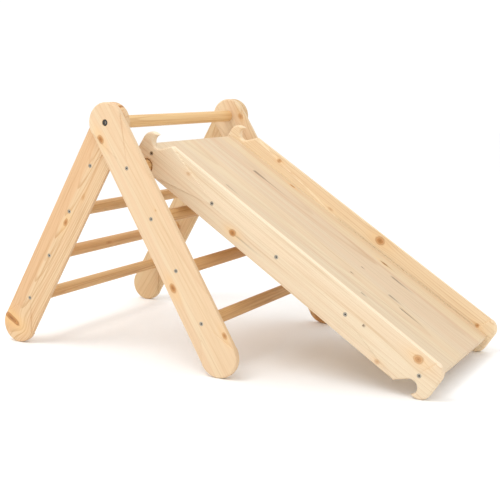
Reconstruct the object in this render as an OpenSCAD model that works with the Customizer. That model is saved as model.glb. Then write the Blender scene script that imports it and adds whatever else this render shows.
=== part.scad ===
// Folding climbing ladder with a hook-on toddler slide.
// +X runs down the slide, +Y runs from the near side to the far side, +Z is up.
// The origin is on the floor, under the middle of the whole object.

/* [Ladders] */
// Angle of each ladder away from the vertical
leg_lean = 30.2; // [26:0.1:34]
// Distance from the pivot to the centre of a leg's round foot
leg_reach = 588; // [560:1:640]
// Width of a leg board
leg_width = 94; // [80:1:100]
// Thickness of a leg board
leg_thickness = 18; // [16:0.5:22]
// Width of one ladder over its two legs
ladder_width = 582; // [540:1:640]

/* [Rungs] */
// Diameter of the rungs and the top bar
rung_diameter = 30; // [28:1:32]
// Distance from the pivot to the first rung
first_rung = 118.5; // [112:0.5:125]
// Distance from one rung to the next
rung_pitch = 129.5; // [120:0.5:135]
// Depth of the blind sockets that hold the rungs
socket_depth = 8; // [4:1:10]

/* [Pivot] */
// Diameter of the pivot bolts
bolt_diameter = 8; // [6:1:8]
// Thickness of the spacer between two stacked legs
spacer_thickness = 1; // [0.5:0.1:2]

/* [Slide] */
// Length of a side panel
panel_length = 860; // [820:5:900]
// Width of a side panel
panel_width = 92; // [88:1:100]
// Thickness of a side panel
panel_thickness = 18; // [16:0.5:22]
// Radius of a side panel's corners
corner_radius = 26; // [20:1:30]
// Width of the slide over its two side panels
slide_width = 430; // [400:5:450]
// Thickness of the slide board
board_thickness = 18; // [15:0.5:20]
// Distance from a panel's end to the slide board
board_margin = 11.5; // [5:0.5:15]

/* [Hooks] */
// Radius of the hook notches
notch_radius = 16.5; // [16.2:0.1:18]
// Distance from a panel's end to a notch centre
notch_inset = 43; // [40:0.5:46]
// Distance from a panel's long edge to a notch centre
notch_depth = 12; // [10:0.5:13]
// Angle between a notch's lead-in and the panel's long edge
lead_in_angle = 45; // [40:1:50]

/* [Screws] */
// Diameter of a screw's countersunk head
screw_head_diameter = 9.6; // [8:0.2:11]
// Diameter of a screw's shank
screw_diameter = 5; // [4:0.5:6]
// Length of a screw
screw_length = 50; // [40:5:55]

/* [Hidden] */
$fn = 64;

// how far cutters reach past a face
over = 1;

// ladders
rung_count = 4;
foot_radius = leg_width / 2;
rung_radius = rung_diameter / 2;
pivot_height = leg_reach * cos(leg_lean) + foot_radius;
// the climbing ladder is as wide as the other one and sits one leg further back
ladder_shift = leg_thickness + spacer_thickness;
total_width = ladder_width + ladder_shift;
rung_length = ladder_width - 2 * leg_thickness + 2 * socket_depth;
socket_clearance = 0.05;

// the top bar lies between the near leg of the climbing ladder and the far leg of the slide ladder
bar_start = ladder_shift + leg_thickness;
bar_length = total_width - 2 * bar_start;

// pivot hardware
bolt_radius = bolt_diameter / 2;
bolt_head_radius = 7;
bolt_head_height = 4.5;
bolt_socket_radius = 2.9;
bolt_socket_depth = 3;
counterbore_radius = 7.8;
counterbore_depth = 5;
fixed_bore_clearance = 0.2;
running_clearance = 0.06;
insert_radius = 6;
insert_length = 32;
bolt_in_bar = 28;
spacer_radius = 15;

// screws
screw_radius = screw_diameter / 2;
screw_head_radius = screw_head_diameter / 2;
screw_rim_height = 0.8;
screw_cone_height = screw_head_radius - screw_radius;
screw_tip_length = 4;
screw_sink = 0.4;
screw_socket_radius = 2.3;
screw_socket_depth = 2.4;
screw_hole_clearance = 0.1;

// slide, in its own axes: u runs down the slide from the first rung, v stands up from it
u_top = -notch_inset;
u_end = panel_length - notch_inset;
v_low = -notch_depth;
v_high = panel_width - notch_depth;
v_board = (v_low + v_high) / 2;
u_lower_notch = u_end - notch_inset;
v_upper_notch = v_high - notch_depth;
slide_near_y = (ladder_width - slide_width) / 2;
// how far a lead-in's line cuts into its notch circle
lead_in_bite = 0.5;
stave_count = 6;
board_width = slide_width - 2 * panel_thickness;
stave_pitch = board_width / stave_count;
glue_line = 0.01;
board_length = panel_length - 2 * board_margin;
slide_screw_count = 5;
slide_screw_inset = 40;
slide_screw_pitch = (panel_length - 2 * slide_screw_inset) / (slide_screw_count - 1);

// the slide leans until the round corner under its lower end meets the floor
rung_height = pivot_height - first_rung * cos(leg_lean);
corner_u = u_end - corner_radius;
corner_v = v_low + corner_radius;
corner_reach = sqrt(corner_u * corner_u + corner_v * corner_v);
slope = asin((rung_height - corner_radius) / corner_reach) + atan2(corner_v, corner_u);

// the whole object's ends along X, measured from the pivot, which centre it on the origin
left_end = -leg_reach * sin(leg_lean) - foot_radius;
right_end = first_rung * sin(leg_lean) + corner_u * cos(slope)
    + (v_high - corner_radius) * sin(slope) + corner_radius;
pivot_x = -(left_end + right_end) / 2;

wood_leg = "burlywood";
wood_rung = "tan";
wood_panel = "wheat";
wood_board = "navajowhite";
steel = "silver";
dark_steel = "dimgray";
nylon = "whitesmoke";

// places children whose y counts from the near face of the slide ladder
module pivot_frame() {
    translate([pivot_x, -total_width / 2, pivot_height]) children();
}

// turns children drawn with -Z down the leg into a leaning ladder; side is 1 for the slide ladder, -1 for
// the climbing one
module ladder_frame(side) {
    pivot_frame()
        translate([0, side > 0 ? 0 : ladder_shift, 0])
            rotate([0, -side * leg_lean, 0])
                children();
}

// places children whose axes are u, y and v on the slide
module slide_frame() {
    pivot_frame()
        translate([first_rung * sin(leg_lean), slide_near_y, -first_rung * cos(leg_lean)])
            rotate([0, slope, 0])
                children();
}

function rung_drop(i) = first_rung + i * rung_pitch;

// a cylinder along +Y from y = 0
module rod(radius, length) {
    rotate([-90, 0, 0]) cylinder(r = radius, h = length);
}

// a screw that enters along +Y through a face at y = 0
module screw() {
    translate([0, screw_sink, 0]) rotate([-90, 0, 0]) difference() {
        union() {
            cylinder(r = screw_head_radius, h = screw_rim_height);
            translate([0, 0, screw_rim_height])
                cylinder(r1 = screw_head_radius, r2 = screw_radius, h = screw_cone_height);
            cylinder(r = screw_radius, h = screw_length - screw_tip_length);
            translate([0, 0, screw_length - screw_tip_length])
                cylinder(r1 = screw_radius, r2 = screw_radius / 4, h = screw_tip_length);
        }
        translate([0, 0, -over])
            cylinder(r = screw_socket_radius, h = screw_socket_depth + over, $fn = 6);
    }
}

// the hole that a screw needs, from the same face
module screw_hole() {
    seat_radius = screw_head_radius + screw_hole_clearance;
    shank_radius = screw_radius + screw_hole_clearance;
    translate([0, -over, 0]) rod(seat_radius, over + screw_sink + screw_rim_height);
    translate([0, screw_sink + screw_rim_height, 0])
        rotate([-90, 0, 0])
            cylinder(r1 = seat_radius, r2 = shank_radius, h = screw_cone_height);
    rod(shank_radius, screw_sink + screw_length + over);
}

// turns children that enter along +Y from y = 0 so that they enter along -Y from y = width
module from_far(width) {
    translate([0, width, 0]) mirror([0, 1, 0]) children();
}

// screws or screw holes at every rung, entering a ladder from its near and its far side
module at_rungs() {
    for (i = [0:rung_count - 1])
        translate([0, 0, -rung_drop(i)]) {
            children();
            from_far(ladder_width) children();
        }
}

// a leg board with round ends, from y = 0
module leg_blank() {
    rod(foot_radius, leg_thickness);
    translate([-foot_radius, 0, -leg_reach]) cube([leg_width, leg_thickness, leg_reach]);
    translate([0, 0, -leg_reach]) rod(foot_radius, leg_thickness);
}

// the near leg of a ladder: its outer face is at y = 0
module near_leg(pivot_clearance, has_counterbore) {
    difference() {
        leg_blank();
        translate([0, -over, 0]) rod(bolt_radius + pivot_clearance, leg_thickness + 2 * over);
        if (has_counterbore) {
            translate([0, -over, 0]) rod(counterbore_radius, counterbore_depth + over);
        }
        for (i = [0:rung_count - 1])
            translate([0, 0, -rung_drop(i)]) {
                translate([0, leg_thickness - socket_depth, 0])
                    rod(rung_radius + socket_clearance, socket_depth + over);
                screw_hole();
            }
    }
}

module rung(i) {
    translate([0, leg_thickness - socket_depth, -rung_drop(i)])
        difference() {
            rod(rung_radius, rung_length);
            translate([0, socket_depth - leg_thickness, 0]) screw_hole();
            translate([0, socket_depth - leg_thickness, 0]) from_far(ladder_width) screw_hole();
        }
}

module slide_side_near_leg() {
    color(wood_leg) ladder_frame(1) near_leg(fixed_bore_clearance, true);
}

module slide_side_far_leg() {
    color(wood_leg) ladder_frame(1) from_far(ladder_width) near_leg(fixed_bore_clearance, false);
}

module slide_side_rung(i) {
    color(wood_rung) ladder_frame(1) rung(i);
}

module slide_side_screws() {
    color(steel) ladder_frame(1) at_rungs() screw();
}

module climb_side_near_leg() {
    color(wood_leg) ladder_frame(-1) near_leg(running_clearance, false);
}

module climb_side_far_leg() {
    color(wood_leg) ladder_frame(-1) from_far(ladder_width) near_leg(running_clearance, true);
}

module climb_side_rung(i) {
    color(wood_rung) ladder_frame(-1) rung(i);
}

module climb_side_screws() {
    color(steel) ladder_frame(-1) at_rungs() screw();
}

module top_bar() {
    color(wood_rung) pivot_frame()
        translate([0, bar_start, 0])
            difference() {
                rod(rung_radius, bar_length);
                translate([0, -over, 0]) rod(insert_radius, insert_length + over);
                from_far(bar_length) translate([0, -over, 0]) rod(insert_radius, insert_length + over);
            }
}

// a bolt that enters along +Y through an outer leg's counterbore at y = 0
module pivot_bolt() {
    seat = counterbore_depth;
    difference() {
        union() {
            translate([0, seat - bolt_head_height, 0]) rod(bolt_head_radius, bolt_head_height);
            translate([0, seat, 0]) rod(bolt_radius, bar_start + bolt_in_bar - seat);
        }
        translate([0, seat - bolt_head_height - over, 0])
            rotate([-90, 0, 0])
                cylinder(r = bolt_socket_radius, h = bolt_socket_depth + over, $fn = 6);
    }
}

module near_pivot_bolt() {
    color(dark_steel) pivot_frame() pivot_bolt();
}

module far_pivot_bolt() {
    color(dark_steel) pivot_frame() from_far(total_width) pivot_bolt();
}

// the metal sleeve that a bolt screws into, inside one end of the top bar
module bar_insert() {
    translate([0, bar_start, 0])
        difference() {
            rod(insert_radius, insert_length);
            translate([0, -over, 0]) rod(bolt_radius + socket_clearance, insert_length + 2 * over);
        }
}

module near_bar_insert() {
    color(steel) pivot_frame() bar_insert();
}

module far_bar_insert() {
    color(steel) pivot_frame() from_far(total_width) bar_insert();
}

// the thin ring that keeps two stacked legs apart
module pivot_spacer() {
    translate([0, leg_thickness, 0])
        difference() {
            rod(spacer_radius, spacer_thickness);
            translate([0, -over, 0]) rod(bolt_radius + fixed_bore_clearance, spacer_thickness + 2 * over);
        }
}

module near_pivot_spacer() {
    color(nylon) pivot_frame() pivot_spacer();
}

module far_pivot_spacer() {
    color(nylon) pivot_frame() from_far(total_width) pivot_spacer();
}

// one hook notch around the origin of the u, v plane: it opens towards -v, and its lead-in faces +u
module notch() {
    // the lead-in starts just inside the circle and runs straight out through the long edge
    start_distance = notch_radius - lead_in_bite;
    start_u = start_distance * sin(lead_in_angle);
    start_v = start_distance * cos(lead_in_angle);
    run_out = notch_depth + over;
    circle(r = notch_radius);
    polygon([
        [0, 0],
        [start_u, start_v],
        [start_u + (start_v + run_out) / tan(lead_in_angle), -run_out],
        [0, -run_out]
    ]);
}

// the plain slot around the origin of the u, v plane that sits on the first rung
module rung_slot() {
    circle(r = notch_radius);
    translate([-notch_radius, -notch_depth - over])
        square([2 * notch_radius, notch_depth + over]);
}

// the outline of a side panel: the rung slot, a notch over it, a notch under the lower end, and round corners
module panel_outline() {
    difference() {
        union() {
            for (u = [u_top + corner_radius, u_end - corner_radius])
                for (v = [v_low + corner_radius, v_high - corner_radius])
                    translate([u, v]) circle(r = corner_radius);
            translate([u_top + corner_radius, v_low])
                square([panel_length - 2 * corner_radius, panel_width]);
            translate([u_top, v_low + corner_radius])
                square([panel_length, panel_width - 2 * corner_radius]);
        }
        rung_slot();
        translate([0, v_upper_notch]) mirror([0, 1]) notch();
        translate([u_lower_notch, 0]) mirror([1, 0]) notch();
    }
}

function slide_screw_u(i) = u_top + slide_screw_inset + i * slide_screw_pitch;

// screws or screw holes along one edge of the slide, entering along +Y from y = 0
module at_slide_screws() {
    for (i = [0:slide_screw_count - 1])
        translate([slide_screw_u(i), 0, v_board]) children();
}

// the near panel, with its outer face at y = 0
module side_panel() {
    difference() {
        translate([0, panel_thickness, 0])
            rotate([90, 0, 0])
                linear_extrude(height = panel_thickness)
                    panel_outline();
        at_slide_screws() screw_hole();
    }
}

module slide_near_panel() {
    color(wood_panel) slide_frame() side_panel();
}

module slide_far_panel() {
    color(wood_panel) slide_frame() from_far(slide_width) side_panel();
}

// one lengthwise stave of the glued slide board
module slide_stave(i) {
    color(wood_board) slide_frame()
        difference() {
            translate([
                u_top + board_margin,
                panel_thickness + i * stave_pitch,
                v_board - board_thickness / 2
            ])
                cube([board_length, stave_pitch - glue_line, board_thickness]);
            if (i == 0) at_slide_screws() screw_hole();
            if (i == stave_count - 1) from_far(slide_width) at_slide_screws() screw_hole();
        }
}

module slide_near_screws() {
    color(steel) slide_frame() at_slide_screws() screw();
}

module slide_far_screws() {
    color(steel) slide_frame() from_far(slide_width) at_slide_screws() screw();
}

slide_side_near_leg();
slide_side_far_leg();
slide_side_rung(0);  // slide_side_rung_1
slide_side_rung(1);  // slide_side_rung_2
slide_side_rung(2);  // slide_side_rung_3
slide_side_rung(3);  // slide_side_rung_4
slide_side_screws();
climb_side_near_leg();
climb_side_far_leg();
climb_side_rung(0);  // climb_side_rung_1
climb_side_rung(1);  // climb_side_rung_2
climb_side_rung(2);  // climb_side_rung_3
climb_side_rung(3);  // climb_side_rung_4
climb_side_screws();
top_bar();
near_pivot_bolt();
far_pivot_bolt();
near_bar_insert();
far_bar_insert();
near_pivot_spacer();
far_pivot_spacer();
slide_near_panel();
slide_far_panel();
slide_stave(0);  // slide_stave_1
slide_stave(1);  // slide_stave_2
slide_stave(2);  // slide_stave_3
slide_stave(3);  // slide_stave_4
slide_stave(4);  // slide_stave_5
slide_stave(5);  // slide_stave_6
slide_near_screws();
slide_far_screws();
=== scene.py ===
"""Looks for the folding climbing ladder with its hook-on toddler slide.

Every board and dowel is made anew in its own pine, with rounded edges, and takes the place of one CAD node.
It is made in local axes, X along the grain, and then moved into place. All lengths are in metres.
"""

import math
from collections import namedtuple

import bmesh
import bpy
import numpy as np
from mathutils import Matrix, Vector
from mathutils.geometry import delaunay_2d_cdt

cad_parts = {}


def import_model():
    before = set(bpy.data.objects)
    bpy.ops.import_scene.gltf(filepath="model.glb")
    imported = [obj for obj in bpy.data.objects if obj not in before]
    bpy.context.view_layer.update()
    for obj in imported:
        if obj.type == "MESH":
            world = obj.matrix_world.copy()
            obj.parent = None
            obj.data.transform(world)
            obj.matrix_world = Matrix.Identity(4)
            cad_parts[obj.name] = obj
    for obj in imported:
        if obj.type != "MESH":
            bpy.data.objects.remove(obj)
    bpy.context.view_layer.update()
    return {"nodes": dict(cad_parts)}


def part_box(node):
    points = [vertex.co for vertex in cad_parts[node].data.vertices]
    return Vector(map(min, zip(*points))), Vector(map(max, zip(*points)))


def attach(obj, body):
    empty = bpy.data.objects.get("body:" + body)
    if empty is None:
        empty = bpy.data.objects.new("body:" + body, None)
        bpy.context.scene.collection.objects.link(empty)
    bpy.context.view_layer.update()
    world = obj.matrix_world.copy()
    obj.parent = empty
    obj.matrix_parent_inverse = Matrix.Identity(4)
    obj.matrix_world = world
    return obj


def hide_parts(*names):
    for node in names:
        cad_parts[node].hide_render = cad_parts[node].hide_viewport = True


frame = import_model()

# ---- driving sizes, the same as the CAD part's ----
MM = 0.001
LEG_WIDTH = 94 * MM
LEG_THICKNESS = 18 * MM
RUNG_COUNT = 4
RUNG_RADIUS = 15 * MM
SOCKET_RADIUS = RUNG_RADIUS + 0.05 * MM
SOCKET_DEPTH = 8 * MM
COUNTERBORE_RADIUS = 7.8 * MM
COUNTERBORE_DEPTH = 5 * MM
PANEL_LENGTH = 860 * MM
PANEL_WIDTH = 92 * MM
PANEL_THICKNESS = 18 * MM
CORNER_RADIUS = 26 * MM
NOTCH_RADIUS = 16.5 * MM
NOTCH_INSET = 43 * MM
NOTCH_DEPTH = 12 * MM
LEAD_IN_ANGLE = math.radians(45)
LEAD_IN_BITE = 0.5 * MM
BOARD_THICKNESS = 18 * MM
BOARD_MARGIN = 11.5 * MM
SLIDE_SCREW_INSET = 40 * MM
SLIDE_SCREW_COUNT = 5
SLIDE_SCREW_PITCH = (PANEL_LENGTH - 2 * SLIDE_SCREW_INSET) / (SLIDE_SCREW_COUNT - 1)

# ---- sizes that only the looks need ----
LEG_EDGE = 4.5 * MM
PANEL_EDGE = 5 * MM
STAVE_END = 4 * MM
STAVE_ARRIS = 0.12 * MM
RUNG_CHAMFER = 0.8 * MM
SCREW_SEAT_RADIUS = 4.9 * MM
SCREW_SEAT_DEPTH = 3.4 * MM
EDGE_STEPS = 6
ARC_STEP = math.radians(4)
SHARP_ANGLE = math.radians(35)

# ---- the slide's own axes: u down the slide from the first rung, v up from it ----
U_TOP = -NOTCH_INSET
U_END = PANEL_LENGTH - NOTCH_INSET
V_LOW = -NOTCH_DEPTH
V_HIGH = PANEL_WIDTH - NOTCH_DEPTH
V_BOARD = (V_LOW + V_HIGH) / 2

ACROSS = Vector((0, 1, 0))
UP = Vector((0, 0, 1))

# a blind round hole in a board's face at z = 0 (side 0) or at its thickness (side 1)
Recess = namedtuple("Recess", "x y radius depth side")
# marks in the wood: x is along the piece, across is across it, stretch is how many times longer than wide
Knot = namedtuple("Knot", "x across radius strength stretch")
Streak = namedtuple("Streak", "x across length width strength")


# ======================= places, from the frame =======================

def centre(node):
    low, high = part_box(node)
    return (low + high) / 2


def placed(x_axis, y_axis, origin):
    """The matrix that turns local X to x_axis and local Y to y_axis, and moves local zero to origin."""
    z_axis = x_axis.cross(y_axis)
    rows = [[x_axis[i], y_axis[i], z_axis[i], origin[i]] for i in range(3)]
    return Matrix(rows + [[0, 0, 0, 1]])


pivot = centre("top_bar")


def leg_axis(side):
    """Down a leg, from the first rung to the last one."""
    first, last = centre(f"{side}_rung_1"), centre(f"{side}_rung_{RUNG_COUNT}")
    return Vector((last.x - first.x, 0, last.z - first.z)).normalized()


def slope_axis():
    """Down the slide, from a stave's highest corner to its furthest one along X."""
    corners = [v.co for v in frame["nodes"]["slide_stave_3"].data.vertices]
    highest = max(corners, key=lambda c: c.z)
    furthest = max(corners, key=lambda c: c.x)
    return Vector((furthest.x - highest.x, 0, furthest.z - highest.z)).normalized()


def slide_matrix(y):
    """The slide's u, v and -Y axes, from the first rung at y."""
    down = slope_axis()
    first_rung = centre("slide_side_rung_1")
    return placed(down, Vector((-down.z, 0, down.x)), Vector((first_rung.x, y, first_rung.z)))


# ======================= mesh code =======================

def ring_pairs(count):
    """The index of each point of a closed ring, with the next one's."""
    return [(i, (i + 1) % count) for i in range(count)]


def arc(cx, cy, radius, start, end):
    """Points round a circle from the angle start to the angle end, both included."""
    count = max(2, math.ceil(abs(end - start) / ARC_STEP))
    angles = [start + (end - start) * i / count for i in range(count + 1)]
    return [(cx + radius * math.cos(a), cy + radius * math.sin(a)) for a in angles]


def distance_to_outline(points, outline):
    """The distance of each point from the closed outline."""
    a = np.array(outline)
    b = np.roll(a, -1, axis=0)
    along = b - a
    to_point = np.array(points)[:, None, :] - a[None]
    share = np.clip((to_point * along).sum(2) / (along ** 2).sum(1), 0, 1)
    gap = to_point - share[..., None] * along
    return np.sqrt((gap ** 2).sum(2)).min(1)


def inside(points, loop):
    """Whether each point lies inside the closed loop."""
    p = np.array(points)
    found = np.zeros(len(p), bool)
    for (x1, y1), (x2, y2) in zip(loop, loop[1:] + loop[:1]):
        crosses = (y1 > p[:, 1]) != (y2 > p[:, 1])
        if crosses.any():
            x_cross = x1 + (p[:, 1] - y1) * (x2 - x1) / (y2 - y1)
            found ^= crosses & (p[:, 0] < x_cross)
    return found


def edge_points(outline, radius):
    """Points inside the outline, in the rings that a rounded edge needs."""
    a = np.array(outline)
    before, after = a - np.roll(a, 1, axis=0), np.roll(a, -1, axis=0) - a
    before /= np.linalg.norm(before, axis=1)[:, None]
    after /= np.linalg.norm(after, axis=1)[:, None]
    normals = np.stack([-(before + after)[:, 1], (before + after)[:, 0]], axis=1)
    normals /= np.linalg.norm(normals, axis=1)[:, None]
    # at a sharp corner the mitre would run far inside, so it is limited
    least_cosine_squared = 0.05
    mitre = 1 / np.sqrt(np.clip((1 + (before * after).sum(1)) / 2, least_cosine_squared, 1))
    clear_share = 0.985
    kept = []
    for step in range(1, EDGE_STEPS + 1):
        inset = radius * (1 - math.cos(math.pi / 2 * step / EDGE_STEPS))
        ring = a + normals * (inset * mitre)[:, None]
        clear = distance_to_outline(ring, outline) > inset * clear_share
        kept += [tuple(p) for p in ring[inside(ring, outline) & clear]]
    return kept


def triangulated(loops, extra):
    """Points, triangles, and where each point of the loops came out, for the loops and the extra points."""
    flat = [p for loop in loops for p in loop]
    edges, start = [], 0
    for loop in loops:
        edges += [(start + i, start + j) for i, j in ring_pairs(len(loop))]
        start += len(loop)
    whole_hull, tolerance = 0, 1e-7
    coords, _, faces, origins, _, _ = delaunay_2d_cdt(
        [Vector(p) for p in flat + extra], edges, [], whole_hull, tolerance, True)
    place = {origin: i for i, found in enumerate(origins) for origin in found}
    return [tuple(c) for c in coords], faces, place


def board_face(mesh, loops, rings, thickness, radius, side):
    """One face of a board, bent down at its outline (loops[0]) and open in its holes. It returns the rims."""
    outline, holes = loops[0], loops[1:]
    points, faces, place = triangulated(loops, rings)
    distance = np.clip(distance_to_outline(points, outline), 0, radius)
    drop = radius - np.sqrt(radius ** 2 - (radius - distance) ** 2)
    heights = thickness - drop if side else drop
    verts = [mesh.verts.new((x, y, z)) for (x, y), z in zip(points, heights)]
    middles = [np.mean([points[i] for i in face], axis=0) for face in faces]
    solid = inside(middles, outline)
    for hole in holes:
        solid &= ~inside(middles, hole)
    for face, keep in zip(faces, solid):
        if keep:
            mesh.faces.new([verts[i] for i in (face if side else reversed(face))])
    rims, start = [], 0
    for loop in loops:
        rims.append([verts[place[start + i]] for i in range(len(loop))])
        start += len(loop)
    return rims


def sunk_hole(mesh, rim, depth, side):
    """The wall and bottom of a blind hole under its rim."""
    sink = -depth if side else depth
    bottom = [mesh.verts.new(v.co + Vector((0, 0, sink))) for v in rim]
    for i, j in ring_pairs(len(rim)):
        wall = [rim[i], rim[j], bottom[j], bottom[i]]
        mesh.faces.new(reversed(wall) if side else wall)
    mesh.faces.new(bottom if side else reversed(bottom))


def rounded_board(name, outline, thickness, radius, recesses=()):
    """A board in local XY from z = 0 to thickness, its outline counterclockwise, all its edges rounded."""
    mesh = bmesh.new()
    rings = edge_points(outline, radius)
    outer_rims = []
    for side in (0, 1):
        blind = [recess for recess in recesses if recess.side == side]
        holes = [arc(recess.x, recess.y, recess.radius, 0, 2 * math.pi)[:-1] for recess in blind]
        outer_rim, *hole_rims = board_face(mesh, [outline] + holes, rings, thickness, radius, side)
        outer_rims.append(outer_rim)
        for rim, recess in zip(hole_rims, blind):
            sunk_hole(mesh, rim, recess.depth, side)
    low, high = outer_rims
    for i, j in ring_pairs(len(outline)):
        mesh.faces.new([low[i], low[j], high[j], high[i]])
    bmesh.ops.delete(mesh, geom=[v for v in mesh.verts if not v.link_faces], context="VERTS")
    bmesh.ops.recalc_face_normals(mesh, faces=mesh.faces)
    return finished(name, mesh)


def ring_of(mesh, x, radius, steps, hexagon=False):
    """A ring round local X. A hexagon's radius is measured to its flats."""
    sixth = math.pi / 3
    found = []
    for i in range(steps):
        a = 2 * math.pi * i / steps
        flat = math.cos((a + sixth / 2) % sixth - sixth / 2)
        r = radius / flat if hexagon else radius
        found.append(mesh.verts.new((x, r * math.cos(a), r * math.sin(a))))
    return found


def dowel(name, length, radius, chamfer):
    """A round bar along local X from x = 0, with chamfered ends."""
    steps, sections = 96, 6
    profile = [(0, radius - chamfer), (chamfer, radius)]
    profile += [(length * i / sections, radius) for i in range(1, sections)]
    profile += [(length - chamfer, radius), (length, radius - chamfer)]
    mesh = bmesh.new()
    rings = [ring_of(mesh, x, r, steps) for x, r in profile]
    for low, high in zip(rings, rings[1:]):
        for i, j in ring_pairs(steps):
            mesh.faces.new([low[i], low[j], high[j], high[i]])
    mesh.faces.new(reversed(rings[0]))
    mesh.faces.new(rings[-1])
    bmesh.ops.recalc_face_normals(mesh, faces=mesh.faces)
    return finished(name, mesh)


def socket_head_piece(name, profile, socket_radius, socket_depth, materials):
    """A fastener turned round local X whose head faces -X, with a hexagon socket in the head.

    profile runs from the socket's rim outwards and on to the tip, as (x, radius). The second material is the
    socket's.
    """
    steps = 48
    floor_share, lip_share = 0.96, 0.12
    mesh = bmesh.new()
    head_x = profile[0][0]
    rings = [ring_of(mesh, head_x + socket_depth, socket_radius * floor_share, steps, hexagon=True),
             ring_of(mesh, head_x + socket_radius * lip_share, socket_radius, steps, hexagon=True)]
    rings += [ring_of(mesh, x, radius, steps) for x, radius in profile]
    for number, (inner, outer) in enumerate(zip(rings, rings[1:])):
        for i, j in ring_pairs(steps):
            face = mesh.faces.new([inner[i], inner[j], outer[j], outer[i]])
            face.material_index = 1 if number == 0 else 0
    mesh.faces.new(rings[0]).material_index = 1
    mesh.faces.new(rings[-1])
    bmesh.ops.recalc_face_normals(mesh, faces=mesh.faces)
    return finished(name, mesh, materials)


def finished(name, mesh, materials=()):
    """The object of a bmesh, smooth where its faces meet at a shallow angle."""
    data = bpy.data.meshes.new(name)
    mesh.to_mesh(data)
    mesh.free()
    for material in materials:
        data.materials.append(material)
    piece = bpy.data.objects.new(name, data)
    bpy.context.scene.collection.objects.link(piece)
    data.shade_smooth()
    data.set_sharp_from_angle(angle=SHARP_ANGLE)
    weighted = piece.modifiers.new("flat_faces_stay_flat", "WEIGHTED_NORMAL")
    weighted.keep_sharp = True
    return piece


# ======================= outlines =======================

def leg_outline(reach):
    half = LEG_WIDTH / 2
    right, left = math.pi / 2, 3 * math.pi / 2
    return arc(reach, 0, half, -right, right) + arc(0, 0, half, right, left)


def notch_outline(u, v, flip_u, flip_v):
    """The boundary of one hook notch, from its plain lip to the end of its lead-in."""
    lip = math.pi + math.asin(NOTCH_DEPTH / NOTCH_RADIUS)
    start = NOTCH_RADIUS - LEAD_IN_BITE
    leaves = LEAD_IN_ANGLE - math.acos(start / NOTCH_RADIUS)
    lead_end = (start + NOTCH_DEPTH * math.sin(LEAD_IN_ANGLE)) / math.cos(LEAD_IN_ANGLE)
    points = arc(0, 0, NOTCH_RADIUS, lip, leaves) + [(lead_end, -NOTCH_DEPTH)]
    return [(u + flip_u * x, v + flip_v * y) for x, y in points]


def rung_slot_outline():
    """The plain slot that sits on the first rung, open towards -v."""
    top = arc(0, 0, NOTCH_RADIUS, math.pi, 0)
    return [(-NOTCH_RADIUS, V_LOW)] + top + [(NOTCH_RADIUS, V_LOW)]


def panel_outline():
    r = CORNER_RADIUS
    quarter = math.pi / 2
    return (
        arc(U_TOP + r, V_LOW + r, r, 2 * quarter, 3 * quarter)
        + rung_slot_outline()
        + notch_outline(U_END - NOTCH_INSET, 0, -1, 1)[::-1]
        + arc(U_END - r, V_LOW + r, r, -quarter, 0)
        + arc(U_END - r, V_HIGH - r, r, 0, quarter)
        + notch_outline(0, V_HIGH - NOTCH_DEPTH, 1, -1)[::-1]
        + arc(U_TOP + r, V_HIGH - r, r, quarter, 2 * quarter)
    )


def stave_outline():
    low, high = V_BOARD - BOARD_THICKNESS / 2, V_BOARD + BOARD_THICKNESS / 2
    left, right = U_TOP + BOARD_MARGIN, U_END - BOARD_MARGIN
    r = STAVE_END
    quarter = math.pi / 2
    return (
        arc(left + r, low + r, r, 2 * quarter, 3 * quarter)
        + arc(right - r, low + r, r, -quarter, 0)
        + arc(right - r, high - r, r, 0, quarter)
        + arc(left + r, high - r, r, quarter, 2 * quarter)
    )


# ======================= material nodes =======================

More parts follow.
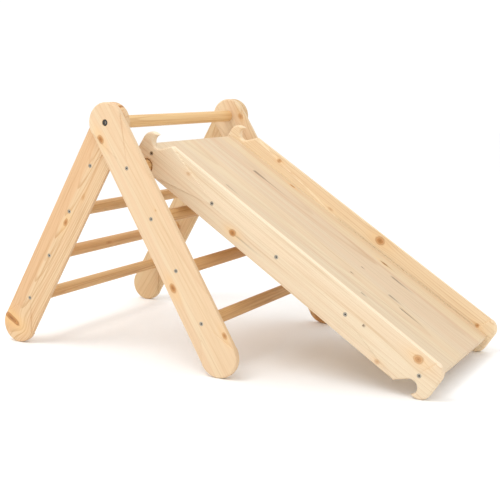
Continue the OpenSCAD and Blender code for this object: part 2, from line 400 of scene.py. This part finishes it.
class Nodes:
    """Short calls for one material's nodes. A value is a number, a colour or another node's socket."""

    def __init__(self, name):
        self.material = bpy.data.materials.new(name)
        self.material.use_nodes = True
        self.tree = self.material.node_tree
        self.shader = self.tree.nodes["Principled BSDF"]

    def feed(self, socket, value):
        if isinstance(value, bpy.types.NodeSocket):
            self.tree.links.new(value, socket)
        else:
            socket.default_value = value

    def surface(self, colour, roughness):
        self.feed(self.shader.inputs["Base Color"], colour)
        self.feed(self.shader.inputs["Roughness"], roughness)

    def math(self, operation, *values):
        node = self.tree.nodes.new("ShaderNodeMath")
        node.operation = operation
        for socket, value in zip(node.inputs, values):
            self.feed(socket, value)
        return node.outputs[0]

    def add(self, a, b):
        return self.math("ADD", a, b)

    def minus(self, a, b):
        return self.math("SUBTRACT", a, b)

    def times(self, a, b):
        return self.math("MULTIPLY", a, b)

    def axes(self, matrix=None):
        """X, Y and Z in the row frame, or in the local frame that matrix places."""
        source = self.tree.nodes.new("ShaderNodeTexCoord").outputs["Object"]
        if matrix is not None:
            local = self.tree.nodes.new("ShaderNodeMapping")
            local.vector_type = "TEXTURE"
            local.inputs["Location"].default_value = matrix.translation
            local.inputs["Rotation"].default_value = matrix.to_euler()
            self.tree.links.new(source, local.inputs["Vector"])
            source = local.outputs[0]
        split = self.tree.nodes.new("ShaderNodeSeparateXYZ")
        self.tree.links.new(source, split.inputs[0])
        return split.outputs[0], split.outputs[1], split.outputs[2]

    def noise(self, x, y, z, detail=2.0):
        """Noise from 0 to 1 at coordinates already in waves."""
        place = self.tree.nodes.new("ShaderNodeCombineXYZ")
        for socket, value in zip(place.inputs, (x, y, z)):
            self.feed(socket, value)
        node = self.tree.nodes.new("ShaderNodeTexNoise")
        self.tree.links.new(place.outputs[0], node.inputs["Vector"])
        node.inputs["Scale"].default_value = 1.0
        node.inputs["Detail"].default_value = detail
        node.inputs["Roughness"].default_value = 0.5
        return node.outputs["Fac"]

    def waves(self, x, y, rates, z, detail=2.0):
        """Noise whose first two coordinates are in metres, at so many waves a metre."""
        return self.noise(self.times(x, rates[0]), self.times(y, rates[1]), z, detail)

    def grains(self, rate, detail):
        """Noise at so many waves a metre in all three directions of the row frame."""
        x, y, z = self.axes()
        return self.noise(self.times(x, rate), self.times(y, rate), self.times(z, rate), detail)

    def square(self, a, b, units=(1.0, 1.0)):
        """a squared plus b squared, each in its own unit."""
        a, b = self.math("DIVIDE", a, units[0]), self.math("DIVIDE", b, units[1])
        return self.add(self.times(a, a), self.times(b, b))

    def smooth(self, value, low, high, out_low=0.0, out_high=1.0):
        """A smooth step from out_low at low to out_high at high."""
        node = self.tree.nodes.new("ShaderNodeMapRange")
        node.interpolation_type = "SMOOTHSTEP"
        for socket, number in zip(node.inputs, (value, low, high, out_low, out_high)):
            self.feed(socket, number)
        return node.outputs[0]

    def mix(self, share, a, b):
        node = self.tree.nodes.new("ShaderNodeMix")
        node.data_type = "RGBA"
        self.feed(node.inputs["Factor"], share)
        colour_sockets, colour_result = node.inputs[6:8], node.outputs[2]
        for socket, value in zip(colour_sockets, (a, b)):
            self.feed(socket, (*value, 1) if isinstance(value, tuple) else value)
        return colour_result

    def bump(self, height, strength, distance):
        node = self.tree.nodes.new("ShaderNodeBump")
        node.inputs["Strength"].default_value = strength
        node.inputs["Distance"].default_value = distance
        self.feed(node.inputs["Height"], height)
        self.tree.links.new(node.outputs[0], self.shader.inputs["Normal"])


# ======================= pine =======================

EARLY_WOOD = (0.90, 0.715, 0.470)
LATE_WOOD = (0.60, 0.35, 0.15)
WARM_BAND = (0.86, 0.60, 0.37)
CLOUD_TINT = (0.96, 0.86, 0.76)
HEARTWOOD = (0.83, 0.55, 0.31)
# painted highlight: the pale colour laid along the near panel's rounded top edge, where light falls on it
PAINTED_HIGHLIGHT = (0.94, 0.78, 0.58)
KNOT_HEART = (0.27, 0.11, 0.035)
KNOT_BODY = (0.53, 0.245, 0.075)
KNOT_RIM = (0.30, 0.12, 0.035)
KNOT_HALO = (0.80, 0.50, 0.21)
PITCH = (0.11, 0.06, 0.035)

# waves a metre along and across the grain
DRIFT_WAVES = (2.3, 5.0)
SWIRL_WAVES = (9.0, 22.0)
FIBRE_WAVES = (16.0, 950.0)
STRIPE_WAVES = (3.5, 210.0)
STRIPE_DEPTH_WAVES = 150.0
BAND_WAVES = (0.9, 34.0)
CLOUD_WAVES = (6.0, 20.0)

# how far the year rings wander from straight lines, and the heartwood's border and the streaks with them
DRIFT_REACH = 18 * MM
SWIRL_REACH = 2 * MM
HEART_DRIFT = 20 * MM
STREAK_SWIRL = 6 * MM

# the year rings' own noise, in waves a year, and how many years it shifts them
UNEVEN_RATE = 0.31
UNEVEN_YEARS = 1.8
STRENGTH_RATE = 0.77

# a knot: how far it holds the grain and how lumpy it is, in its own radii along and across
KNOT_REACH = (3.0, 1.7)
KNOT_LUMPS = (0.6, 0.8)
KNOT_LUMPINESS = 0.8
KNOT_PULL = 0.9

# how much of each layer shows at its strongest
LATE_SHARE = 0.5
STRIPE_SHARE = 0.42
CLOUD_SHARE = 0.16
FIBRE_SHARE = 0.22
PAINTED_HIGHLIGHT_SHARE = 0.6


def tinted(colour, tone):
    return tuple(c * t for c, t in zip(colour, tone))


def knot_masks(n, x, across, knot, seed):
    """The distance across from a knot, how strongly it holds the grain, and how far away it is in radii."""
    along = knot.radius * knot.stretch
    dx, da = n.minus(x, knot.x), n.minus(across, knot.across)
    reach = (KNOT_REACH[0] * along, KNOT_REACH[1] * knot.radius)
    lumps = (KNOT_LUMPS[0] / along, KNOT_LUMPS[1] / knot.radius)
    hold = n.math("EXPONENT", n.times(n.square(dx, da, reach), -1.0))
    rough = n.minus(n.waves(dx, da, lumps, seed), 0.5)
    away = n.math("SQRT", n.square(dx, da, (along, knot.radius)))
    return da, hold, n.add(away, n.times(rough, KNOT_LUMPINESS))


def growth_rings(n, x, across, depth, wander, seed, pith, ring, taper):
    """From 0 in early wood to 1 in the dark late wood of each year."""
    offset = n.add(n.minus(across, pith[0]), wander)
    sunk = n.add(n.minus(depth, pith[1]), n.times(x, taper))
    phase = n.math("DIVIDE", n.math("SQRT", n.square(offset, sunk)), ring)
    uneven = n.noise(n.times(phase, UNEVEN_RATE), seed, 0.0)
    phase = n.add(phase, n.times(uneven, UNEVEN_YEARS))
    year = n.math("FRACT", phase)
    late = n.times(n.smooth(year, 0.55, 0.93), n.smooth(year, 0.95, 1.0, 1.0, 0.0))
    strength = n.noise(n.times(n.math("FLOOR", phase), STRENGTH_RATE), seed + 3.1, 0.0, detail=0.0)
    return n.times(late, n.smooth(strength, 0.3, 0.7, 0.2, 1.0))


def with_knot(n, colour, hold, away, strength):
    """The colour with a knot over it: a halo, a body with rings and a darker rim, and a dark heart."""
    colour = n.mix(n.times(hold, 0.45 * strength), colour, KNOT_HALO)
    colour = n.mix(n.smooth(away, 0.5, 1.35, 0.86 * strength, 0.0), colour, KNOT_BODY)
    rings = n.smooth(n.math("SINE", n.times(away, 15.0)), 0.0, 1.0, 0.0, 0.28 * strength)
    colour = n.mix(n.times(rings, n.smooth(away, 0.9, 1.1, 1.0, 0.0)), colour, KNOT_RIM)
    rim = n.times(n.smooth(away, 0.75, 1.0), n.smooth(away, 1.0, 1.25, 1.0, 0.0))
    colour = n.mix(n.times(rim, 0.18 * strength), colour, KNOT_RIM)
    return n.mix(n.smooth(away, 0.0, 0.7, 0.55 * strength, 0.0), colour, KNOT_HEART)


def with_streak(n, colour, x, across, streak, swirl, stripe):
    """The colour with a streak of pitch over it, pointed at both ends and broken up by the stripes."""
    run = n.math("DIVIDE", n.minus(x, streak.x), streak.length)
    bent = n.add(n.minus(across, streak.across), n.times(swirl, STREAK_SWIRL))
    side = n.math("DIVIDE", n.math("ABSOLUTE", bent), streak.width)
    fades = n.times(n.smooth(run, -0.10, 0.06), n.smooth(run, 0.1, 1.0, 1.0, 0.0))
    broken = n.times(fades, n.smooth(stripe, 0.3, 0.6, 0.55, 1.0))
    return n.mix(n.times(n.smooth(side, 0.1, 1.0, streak.strength, 0.0), broken), colour, PITCH)


def pine(name, matrix, seed, tone=(1.0, 1.0, 1.0), pith=(20 * MM, -50 * MM), ring=4.2 * MM, contrast=1.0,
         taper=0.03, warmth=0.5, heart=None, sanded=None, knots=(), streaks=(), depth_axis="z"):
    """Pine with year rings about a pith line along X, warm bands, fibres, knots and streaks of pitch.

    pith is (across, depth) of the rings' centre, ring the width of a year. heart is (across, strength): the
    wood is warmer beyond that line. The argument after heart is the line beyond which a painted highlight
    makes the wood paler, for light on a rounded top edge.
    """
    n = Nodes(name)
    x, y, z = n.axes(matrix)
    across, depth = (y, z) if depth_axis == "z" else (z, y)
    drift = n.minus(n.waves(x, across, DRIFT_WAVES, seed), 0.5)
    swirl = n.minus(n.waves(x, across, SWIRL_WAVES, seed + 7.3), 0.5)

    pulled = across
    masks = [knot_masks(n, x, across, knot, seed) for knot in knots]
    for from_knot, hold, _ in masks:
        pulled = n.minus(pulled, n.times(n.times(from_knot, hold), KNOT_PULL))
    wander = n.add(n.times(drift, DRIFT_REACH), n.times(swirl, SWIRL_REACH))
    late = growth_rings(n, x, pulled, depth, wander, seed, pith, ring, taper)
    fibre = n.waves(x, across, FIBRE_WAVES, n.times(depth, FIBRE_WAVES[1]), 3.0)
    stripe = n.waves(x, pulled, STRIPE_WAVES, n.times(depth, STRIPE_DEPTH_WAVES), 4.0)
    band = n.waves(x, pulled, BAND_WAVES, seed + 5.0, 1.0)
    cloud = n.waves(x, across, CLOUD_WAVES, seed + 11.0, 3.0)

    early, dark = tinted(EARLY_WOOD, tone), tinted(LATE_WOOD, tone)
    colour = n.mix(n.times(late, LATE_SHARE * contrast), early, dark)
    colour = n.mix(n.smooth(band, 0.42, 0.62, 0.0, warmth), colour, tinted(WARM_BAND, tone))
    if heart:
        line, strength = heart
        beyond = n.add(n.minus(pulled, line), n.times(drift, HEART_DRIFT))
        colour = n.mix(n.smooth(beyond, -2 * MM, 4 * MM, 0.0, strength), colour, tinted(HEARTWOOD, tone))
    colour = n.mix(n.smooth(stripe, 0.45, 0.8, 0.0, STRIPE_SHARE * contrast), colour, dark)
    colour = n.mix(n.smooth(cloud, 0.4, 0.75, 0.0, CLOUD_SHARE), colour, tinted(early, CLOUD_TINT))
    colour = n.mix(n.smooth(fibre, 0.45, 0.85, 0.0, FIBRE_SHARE), colour, dark)
    for knot, (_, hold, away) in zip(knots, masks):
        colour = with_knot(n, colour, hold, away, knot.strength)
    for streak in streaks:
        colour = with_streak(n, colour, x, across, streak, swirl, stripe)
    # a painted highlight: paler beyond the given line, for the light on the rounded top edge
    if sanded:
        colour = n.mix(n.smooth(across, sanded, sanded + 2 * MM, 0.0, PAINTED_HIGHLIGHT_SHARE), colour, PAINTED_HIGHLIGHT)
    n.surface(colour, n.smooth(n.add(late, fibre), 0.2, 1.6, 0.60, 0.44))
    n.shader.inputs["Specular IOR Level"].default_value = 0.38
    n.bump(n.add(n.times(late, 0.5), fibre), 0.3, 0.3 * MM)
    return n.material


# ======================= metal and plastic =======================

def metal(name, colour, roughness, speckle):
    """Plated steel with a fine grain and a speckled finish."""
    n = Nodes(name)
    grain = n.grains(2600.0, 4.0)
    spots = n.grains(420.0, 2.0)
    darker = tinted(colour, (0.72, 0.72, 0.72))
    n.surface(n.mix(n.smooth(spots, 0.35, 0.7, 0.0, speckle), colour, darker),
              n.smooth(grain, 0.25, 0.75, roughness - 0.06, roughness + 0.1))
    n.shader.inputs["Metallic"].default_value = 1.0
    n.bump(grain, 0.15, 0.05 * MM)
    return n.material


def nylon(name):
    n = Nodes(name)
    grain = n.grains(1500.0, 3.0)
    n.surface(n.mix(n.smooth(grain, 0.3, 0.7), (0.74, 0.72, 0.68), (0.82, 0.80, 0.76)),
              n.smooth(grain, 0.3, 0.7, 0.42, 0.55))
    n.bump(grain, 0.1, 0.1 * MM)
    return n.material


# ======================= pieces =======================

def stands_in(piece, body, node):
    """Makes the piece move with the body, where it stands for the CAD node."""
    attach(piece, body)
    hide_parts(node)


def put(piece, matrix, body, material, node):
    """Moves a piece made in its local frame into place."""
    piece.data.transform(matrix)
    piece.data.materials.append(material)
    stands_in(piece, body, node)


def leg(side, end, **looks):
    """One leg board. side is slide_side or climb_side, end is near or far."""
    node = f"{side}_{end}_leg"
    low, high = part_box(node)
    down = leg_axis(side)
    leans_right = down.x > 0
    across = Vector((-down.z, 0, down.x)) if leans_right else Vector((down.z, 0, -down.x))
    reach = (pivot.z - LEG_WIDTH / 2) / -down.z
    # local Z is -Y on the slide's ladder and +Y on the climbing one
    base_y = high.y if leans_right else low.y
    outer_y = low.y if end == "near" else high.y
    outer = 0 if abs(outer_y - base_y) < MM else 1
    recesses = []
    for i in range(1, RUNG_COUNT + 1):
        rung_centre = centre(f"{side}_rung_{i}")
        drop = math.hypot(rung_centre.x - pivot.x, rung_centre.z - pivot.z)
        recesses.append(Recess(drop, 0, SCREW_SEAT_RADIUS, SCREW_SEAT_DEPTH, outer))
        recesses.append(Recess(drop, 0, SOCKET_RADIUS, SOCKET_DEPTH, 1 - outer))
    is_outermost = (side, end) in (("slide_side", "near"), ("climb_side", "far"))
    if is_outermost:
        recesses.append(Recess(0, 0, COUNTERBORE_RADIUS, COUNTERBORE_DEPTH, outer))
    piece = rounded_board(f"rounded_{node}", leg_outline(reach), LEG_THICKNESS, LEG_EDGE, recesses)
    matrix = placed(down, across, Vector((pivot.x, base_y, pivot.z)))
    body = "slide_ladder" if side == "slide_side" else "climb_ladder"
    put(piece, matrix, body, pine(f"pine_{node}", matrix, **looks), node)


def rung(node, body, material):
    low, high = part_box(node)
    middle = centre(node)
    piece = dowel(f"turned_{node}", high.y - low.y, RUNG_RADIUS, RUNG_CHAMFER)
    put(piece, placed(ACROSS, UP, Vector((middle.x, low.y, middle.z))), body, material, node)


def slide_screw_u():
    """How far down the slide each of a panel's screws is."""
    return [U_TOP + SLIDE_SCREW_INSET + i * SLIDE_SCREW_PITCH for i in range(SLIDE_SCREW_COUNT)]


def panel(end, **looks):
    node = f"slide_{end}_panel"
    outer = 1 if end == "near" else 0
    recesses = [Recess(u, V_BOARD, SCREW_SEAT_RADIUS, SCREW_SEAT_DEPTH, outer) for u in slide_screw_u()]
    piece = rounded_board(f"rounded_{node}", panel_outline(), PANEL_THICKNESS, PANEL_EDGE, recesses)
    matrix = slide_matrix(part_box(node)[1].y)
    put(piece, matrix, "slide", pine(f"pine_{node}", matrix, **looks), node)


def stave(number, **looks):
    node = f"slide_stave_{number}"
    low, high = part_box(node)
    piece = rounded_board(f"planed_{node}", stave_outline(), high.y - low.y, STAVE_ARRIS)
    matrix = slide_matrix(high.y)
    material = pine(f"pine_{node}", matrix, contrast=0.85, taper=0.02, depth_axis="y", **looks)
    put(piece, matrix, "slide", material, node)


def screw_profile():
    """Countersunk head, shank with thread ridges, point. x counts from the wood's face."""
    sink, rim, cone, bevel = 0.4 * MM, 0.5 * MM, 2.6 * MM, 0.25 * MM
    head, shank, ridge, socket_rim, tip = 4.8 * MM, 2.0 * MM, 2.5 * MM, 2.75 * MM, 0.4 * MM
    pitch, length, point = 2.2 * MM, 50 * MM, 4 * MM
    plain_end, thread_start = sink + 16 * MM, sink + 18 * MM
    profile = [(sink, socket_rim), (sink, head - bevel), (sink + 0.15 * MM, head), (sink + rim, head),
               (sink + rim + cone, ridge), (plain_end, ridge), (plain_end + 0.5 * MM, shank)]
    x = thread_start
    while x + pitch < sink + length - point:
        crest = [(x + share * pitch, ridge) for share in (0.35, 0.5)]
        profile += [(x, shank)] + crest + [(x + 0.85 * pitch, shank)]
        x += pitch
    return profile + [(sink + length - point, shank), (sink + length, tip)]


def screws(node, body, places, materials):
    """One piece with a screw at each (point on the face, direction it enters)."""
    socket_radius, socket_depth = 1.7 * MM, 1.8 * MM
    joined = bmesh.new()
    for point, way in places:
        single = socket_head_piece("screw", screw_profile(), socket_radius, socket_depth, materials)
        single.data.transform(placed(way, UP, point))
        joined.from_mesh(single.data)
        bpy.data.objects.remove(single)
    stands_in(finished(f"turned_{node}", joined, materials), body, node)


def ladder_screw_places(side):
    near_y, far_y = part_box(f"{side}_near_leg")[0].y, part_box(f"{side}_far_leg")[1].y
    places = []
    for i in range(1, RUNG_COUNT + 1):
        middle = centre(f"{side}_rung_{i}")
        places.append((Vector((middle.x, near_y, middle.z)), ACROSS))
        places.append((Vector((middle.x, far_y, middle.z)), -ACROSS))
    return places


def slide_screw_places(end):
    low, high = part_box(f"slide_{end}_panel")
    y, way = (low.y, ACROSS) if end == "near" else (high.y, -ACROSS)
    return [(slide_matrix(y) @ Vector((u, V_BOARD, 0)), way) for u in slide_screw_u()]


def pivot_bolt(end, materials):
    """A low round head with a hexagon socket, deep in the leg's counterbore."""
    node = f"{end}_pivot_bolt"
    low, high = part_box(node)
    length = high.y - low.y
    head, shank, height, bevel, tip = 7 * MM, 4 * MM, 4.5 * MM, 0.4 * MM, 1 * MM
    socket_rim, socket_radius, socket_depth = 4.4 * MM, 2.9 * MM, 2.6 * MM
    dome_share, dome_steps = 0.55, 6
    angles = [math.pi / 2 * (1 - i / dome_steps) for i in range(dome_steps + 1)]
    dome = [(height * (1 - math.sin(a)) * dome_share, socket_rim + (head - socket_rim) * math.cos(a))
            for a in angles]
    profile = dome + [(height - bevel, head), (height, head - bevel), (height, shank),
                      (length - tip, shank), (length, shank - tip)]
    piece = socket_head_piece(f"turned_{node}", profile, socket_radius, socket_depth, materials)
    y, way = (low.y, ACROSS) if end == "near" else (high.y, -ACROSS)
    middle = centre(node)
    piece.data.transform(placed(way, UP, Vector((middle.x, y, middle.z))))
    stands_in(piece, "slide_ladder", node)


# ======================= the object =======================

leg("slide_side", "near", seed=1.7, tone=(0.85, 0.83, 0.83), pith=(0.034, -0.12), ring=0.0026, contrast=0.7,
    taper=0.02, warmth=0.6, heart=(-0.012, 0.3),
    knots=[Knot(0.0267, -0.0308, 0.0072, 1.15, 1.5), Knot(0.4073, -0.0290, 0.0070, 1.15, 1.6),
           Knot(0.5532, 0.0390, 0.0045, 0.95, 1.8), Knot(0.236, 0.020, 0.002, 0.4, 1.5)])
# the large last knot, at this leg's foot, is partly a knot and partly painted shade for the shade on that
# foot
leg("slide_side", "far", seed=4.2, tone=(0.84, 0.81, 0.79), pith=(-0.02, -0.08),
    knots=[Knot(0.0207, 0.035, 0.0055, 0.8, 1.4), Knot(0.31, -0.02, 0.006, 0.7, 1.5),
           Knot(0.605, -0.018, 0.030, 1.0, 1.0)])
leg("climb_side", "near", seed=8.9, tone=(0.82, 0.745, 0.68), pith=(0.010, -0.034), ring=0.0036,
    contrast=1.9, taper=0.05, warmth=0.5, heart=(0.010, 0.55),
    knots=[Knot(0.2778, -0.0035, 0.005, 1.1, 2.0), Knot(0.5889, 0.024, 0.026, 1.9, 0.27),
           Knot(0.196, -0.018, 0.0035, 0.5, 2.5), Knot(-0.0465, -0.006, 0.004, 1.2, 1.0)])
# this leg's tone is darker than the others' partly as painted shade, for the shade on its foot
leg("climb_side", "far", seed=12.4, tone=(0.74, 0.67, 0.575), pith=(0.03, -0.05),
    knots=[Knot(0.20, 0.02, 0.006, 0.7, 1.5), Knot(0.47, -0.018, 0.007, 0.8, 1.3)])

# the rungs share one frame: their wood's local X runs across the ladders from Y = 0, its local Y is up
rung_matrix = placed(ACROSS, UP, Vector((0, 0, 0)))
rung_knot = Knot(-0.06, centre("climb_side_rung_2").z - 110 * MM, 0.004, 0.6, 3.0)
RUNG_GRAIN = dict(pith=(0.30, -0.9), ring=0.0030, taper=0.01)
# painted shade: both rung tones are darkened for the shade that falls on the rungs, the climbing ladder's a
# little more
slide_rung_pine = pine("pine_slide_side_rungs", rung_matrix, seed=21.5, tone=(0.80, 0.635, 0.44),
                       contrast=1.6, **RUNG_GRAIN)
climb_rung_pine = pine("pine_climb_side_rungs", rung_matrix, seed=21.5, tone=(0.75, 0.60, 0.42),
                       contrast=1.6, knots=[rung_knot], **RUNG_GRAIN)
bar_pine = pine("pine_top_bar", rung_matrix, seed=25.0, tone=(0.86, 0.74, 0.54), contrast=1.3, **RUNG_GRAIN)
for i in range(1, RUNG_COUNT + 1):
    rung(f"slide_side_rung_{i}", "slide_ladder", slide_rung_pine)
    rung(f"climb_side_rung_{i}", "climb_ladder", climb_rung_pine)
rung("top_bar", "slide_ladder", bar_pine)

# the near panel's top edge strip is made paler by a painted highlight, for the light falling on its rounding
panel("near", seed=31.0, tone=(0.87, 0.905, 0.985), pith=(-0.06, -0.03), ring=0.0019, contrast=1.25,
      taper=0.01, warmth=0.3, sanded=V_HIGH - 3.5 * MM,
      knots=[Knot(0.270, 0.0106, 0.0075, 1.2, 1.15), Knot(0.756, 0.0606, 0.0085, 0.85, 1.2),
             Knot(0.105, 0.054, 0.0045, 0.35, 1.3), Knot(0.692, -0.004, 0.005, 0.5, 1.2)],
      streaks=[Streak(0.282, 0.010, 0.09, 0.003, 0.35), Streak(0.6245, 0.040, 0.009, 0.0045, 1.0)])
panel("far", seed=37.0, tone=(0.93, 0.935, 0.95), pith=(-0.03, -0.06), contrast=0.9, taper=0.02, warmth=0.25,
      knots=[Knot(0.122, 0.068, 0.0045, 0.8, 1.3), Knot(0.462, 0.065, 0.0095, 1.0, 1.3),
             Knot(0.772, 0.048, 0.0045, 0.8, 1.2), Knot(0.31, 0.050, 0.003, 0.4, 3.0)])

# a stave's across is measured from its far edge towards the near side
# the staves' tones are darker than the panels', partly their own greyish colour and partly painted shade for
# the slide's top in less light than the front faces
STAVE_LOOKS = [
    dict(seed=41.0, tone=(0.783, 0.794, 0.827), pith=(0.05, -0.07),
         knots=[Knot(0.30, 0.022, 0.0035, 0.6, 2.0)]),
    dict(seed=43.0, tone=(0.783, 0.799, 0.845), pith=(-0.04, -0.05),
         streaks=[Streak(0.150, 0.030, 0.05, 0.004, 0.45), Streak(0.557, 0.021, 0.022, 0.0045, 0.8)]),
    dict(seed=47.0, tone=(0.802, 0.813, 0.836), pith=(0.03, -0.09),
         streaks=[Streak(0.498, 0.031, 0.014, 0.0036, 0.9), Streak(0.594, -0.004, 0.045, 0.007, 0.6),
                  Streak(0.636, 0.014, 0.075, 0.0036, 1.0)]),
    dict(seed=53.0, tone=(0.783, 0.794, 0.845), pith=(0.10, -0.03),
         streaks=[Streak(0.497, 0.028, 0.014, 0.0034, 0.9), Streak(0.594, 0.058, 0.045, 0.007, 0.6)]),
    dict(seed=59.0, tone=(0.764, 0.747, 0.779), pith=(0.02, -0.06),
         streaks=[Streak(0.118, 0.040, 0.05, 0.0100, 0.85), Streak(0.140, 0.040, 0.13, 0.0036, 0.75),
                  Streak(0.556, 0.020, 0.08, 0.0060, 0.9)]),
    dict(seed=61.0, tone=(0.812, 0.813, 0.827), pith=(-0.02, -0.05),
         knots=[Knot(0.198, 0.019, 0.004, 1.0, 2.0), Knot(0.516, 0.048, 0.0045, 1.0, 2.0)],
         streaks=[Streak(0.505, 0.047, 0.06, 0.005, 0.6)]),
]
for number, looks in enumerate(STAVE_LOOKS, start=1):
    stave(number, **looks)

screw_steel = metal("bright_zinc", (0.44, 0.40, 0.335), 0.48, 0.5)
bolt_steel = metal("black_oxide", (0.085, 0.085, 0.085), 0.42, 0.6)
# painted shade: the screws' hexagon sockets are a dark metal that stands for the shade inside them
socket_shade = metal("painted_shade_socket", (0.085, 0.075, 0.06), 0.6, 0.5)
insert_steel = metal("insert_zinc", (0.56, 0.55, 0.5), 0.36, 0.5)
spacer_nylon = nylon("natural_nylon")

screw_materials = [screw_steel, socket_shade]
screws("slide_side_screws", "slide_ladder", ladder_screw_places("slide_side"), screw_materials)
screws("climb_side_screws", "climb_ladder", ladder_screw_places("climb_side"), screw_materials)
screws("slide_near_screws", "slide", slide_screw_places("near"), screw_materials)
screws("slide_far_screws", "slide", slide_screw_places("far"), screw_materials)
# a painted highlight: the pivot bolts' sockets take the bright zinc, which gives the dark heads a light
# centre
for end in ("near", "far"):
    pivot_bolt(end, [bolt_steel, screw_steel])

# these four stay as they are in the CAD part, with a finish of their own
for end in ("near", "far"):
    for node, material in ((f"{end}_bar_insert", insert_steel), (f"{end}_pivot_spacer", spacer_nylon)):
        data = frame["nodes"][node].data
        data.materials.clear()
        data.materials.append(material)


# ======================= studio =======================

def floor():
    half = 12
    corners = [(-half, -half, 0), (half, -half, 0), (half, half, 0), (-half, half, 0)]
    mesh = bpy.data.meshes.new("floor")
    mesh.from_pydata(corners, [], [(0, 1, 2, 3)])
    piece = bpy.data.objects.new("floor", mesh)
    bpy.context.scene.collection.objects.link(piece)
    n = Nodes("pale_floor")
    x, y, _ = n.axes()
    cloud = n.waves(x, y, (40.0, 40.0), 0.0)
    n.surface(n.mix(cloud, (0.96, 0.96, 0.955), (0.98, 0.98, 0.975)), 0.9)
    n.shader.inputs["Specular IOR Level"].default_value = 0.1
    piece.data.materials.append(n.material)


def softbox(name, place, size, watts):
    """A square light that faces the middle of the object."""
    target = Vector((0, 0, 0.3))
    data = bpy.data.lights.new(name, "AREA")
    data.shape = "SQUARE"
    data.size = size
    data.energy = watts
    light = bpy.data.objects.new(name, data)
    light.location = place
    light.rotation_euler = (target - Vector(place)).to_track_quat("-Z", "Y").to_euler()
    bpy.context.scene.collection.objects.link(light)


def camera():
    """The camera of the reference view, solved from the object's straight edges."""
    data = bpy.data.cameras.new("camera")
    data.sensor_width = 36
    data.lens = 69.1
    data.shift_x = 0.0645
    data.shift_y = -0.1254
    yaw, pitch, roll = 0.5317, 0.1028, -0.0048
    ahead = Vector((-math.sin(yaw) * math.cos(pitch), math.cos(yaw) * math.cos(pitch), -math.sin(pitch)))
    right = Vector((math.cos(yaw), math.sin(yaw), 0))
    up = right.cross(ahead)
    tilted_right = right * math.cos(roll) + up * math.sin(roll)
    tilted_up = up * math.cos(roll) - right * math.sin(roll)
    place = Vector((1.1204, -2.0636, 0.6322))
    piece = bpy.data.objects.new("camera", data)
    piece.matrix_world = placed(tilted_right, tilted_up, place)
    bpy.context.scene.collection.objects.link(piece)
    bpy.context.scene.camera = piece


def world():
    """Plain white from all round."""
    sky = bpy.data.worlds.new("studio")
    sky.use_nodes = True
    background = sky.node_tree.nodes["Background"]
    background.inputs["Color"].default_value = (1.0, 1.0, 1.0, 1)
    background.inputs["Strength"].default_value = 1.05
    bpy.context.scene.world = sky


floor()
world()
softbox("key", (-0.9, -1.4, 3.2), 1.6, 36)
softbox("fill", (2.4, -2.4, 1.4), 2.0, 6)
camera()
bpy.context.scene.view_settings.view_transform = "Standard"
